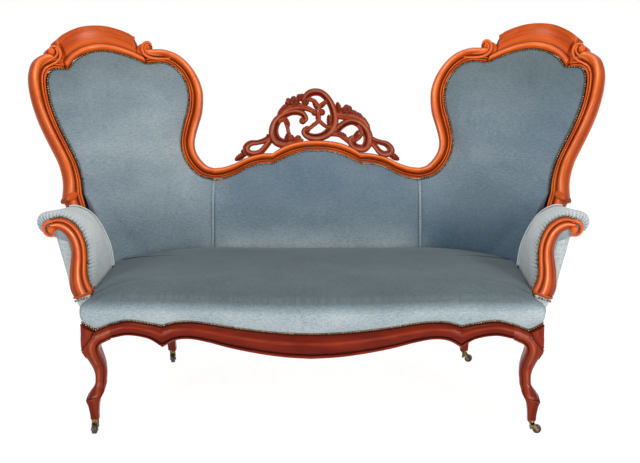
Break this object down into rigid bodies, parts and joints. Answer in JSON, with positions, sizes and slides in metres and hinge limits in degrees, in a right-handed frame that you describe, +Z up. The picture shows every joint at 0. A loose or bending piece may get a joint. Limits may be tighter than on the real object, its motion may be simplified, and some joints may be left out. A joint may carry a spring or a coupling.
{
  "type": "biedermeier sofa",
  "caption": "Upholstered settee with raised rounded ends, a low middle under a pierced carved crest, scrolled arms, a serpentine front rail, curved front legs and swivel casters.",
  "frame": {"origin": "on the floor, under the middle of the bounding box", "axes": "+X to the right as seen from the front, +Y towards the back, +Z up"},
  "size_m": [1.764, 0.7818, 1.105],
  "materials": {
    "mahogany": "polished orange-brown hardwood",
    "dark_mahogany": "polished red-brown hardwood",
    "beech": "plain hidden frame wood",
    "velvet": "blue-grey velvet with a slight slub",
    "jute": "plain woven",
    "brass": "worn, dull",
    "wheel": "dark turned hardwood"
  },
  "bodies": {
    "frame": {"front_leg_left": "dark_mahogany", "front_leg_right": "dark_mahogany", "rear_leg_left": "dark_mahogany", "rear_leg_right": "dark_mahogany", "front_seat_rail": "dark_mahogany", "back_upright_left": "mahogany", "back_upright_right": "mahogany", "crest_tablet_left": "mahogany", "crest_tablet_right": "mahogany", "shoulder_rail_left": "mahogany", "shoulder_rail_right": "mahogany", "centre_top_rail": "mahogany", "pierced_crest": "mahogany", "arm_facing_left": "mahogany", "arm_facing_right": "mahogany", "side_seat_rail_left": "beech", "side_seat_rail_right": "beech", "rear_seat_rail": "beech", "inner_stile_left": "beech", "inner_stile_right": "beech", "lower_back_rail_left": "beech", "lower_back_rail_centre": "beech", "lower_back_rail_right": "beech", "arm_rail_left": "beech", "arm_rail_right": "beech", "corner_block_front_left": "beech", "corner_block_front_right": "beech", "corner_block_rear_left": "beech", "corner_block_rear_right": "beech", "seat_pad": "velvet", "back_pad_left": "velvet", "back_pad_centre": "velvet", "back_pad_right": "velvet", "arm_pad_left": "velvet", "arm_pad_right": "velvet", "outside_back_cover_left": "velvet", "outside_back_cover_centre": "velvet", "outside_back_cover_right": "velvet", "outside_arm_cover_left": "velvet", "outside_arm_cover_right": "velvet", "seat_webbing": "jute", "bottom_cloth": "jute", "caster_socket_front_left": "brass", "caster_socket_front_right": "brass", "caster_socket_rear_left": "brass", "caster_socket_rear_right": "brass"},
    "fork_front_left": {"caster_fork_front_left": "brass", "caster_axle_front_left": "brass"},
    "fork_front_right": {"caster_fork_front_right": "brass", "caster_axle_front_right": "brass"},
    "fork_rear_left": {"caster_fork_rear_left": "brass", "caster_axle_rear_left": "brass"},
    "fork_rear_right": {"caster_fork_rear_right": "brass", "caster_axle_rear_right": "brass"},
    "wheel_front_left": {"caster_wheel_front_left": "wheel"},
    "wheel_front_right": {"caster_wheel_front_right": "wheel"},
    "wheel_rear_left": {"caster_wheel_rear_left": "wheel"},
    "wheel_rear_right": {"caster_wheel_rear_right": "wheel"}
  },
  "joints": [
    {"name": "swivel_front_left", "type": "hinge", "parent": "frame", "child": "fork_front_left", "pos_m": [-0.614, -0.32487, 0], "axis": [0, 0, 1], "continuous": true},
    {"name": "swivel_front_right", "type": "hinge", "parent": "frame", "child": "fork_front_right", "pos_m": [0.614, -0.32487, 0], "axis": [0, 0, 1], "continuous": true},
    {"name": "swivel_rear_left", "type": "hinge", "parent": "frame", "child": "fork_rear_left", "pos_m": [-0.485, 0.27623, 0], "axis": [0, 0, 1], "continuous": true},
    {"name": "swivel_rear_right", "type": "hinge", "parent": "frame", "child": "fork_rear_right", "pos_m": [0.485, 0.27623, 0], "axis": [0, 0, 1], "continuous": true},
    {"name": "roll_front_left", "type": "hinge", "parent": "fork_front_left", "child": "wheel_front_left", "pos_m": [-0.614, -0.34087, 0.0125], "axis": [1, 0, 0], "continuous": true},
    {"name": "roll_front_right", "type": "hinge", "parent": "fork_front_right", "child": "wheel_front_right", "pos_m": [0.63, -0.32487, 0.0125], "axis": [0, 1, 0], "continuous": true},
    {"name": "roll_rear_left", "type": "hinge", "parent": "fork_rear_left", "child": "wheel_rear_left", "pos_m": [-0.48222, 0.26048, 0.0125], "axis": [0.9848, 0.1736, 0], "continuous": true},
    {"name": "roll_rear_right", "type": "hinge", "parent": "fork_rear_right", "child": "wheel_rear_right", "pos_m": [0.50045, 0.27209, 0.0125], "axis": [0.2588, 0.9659, 0], "continuous": true}
  ]
}
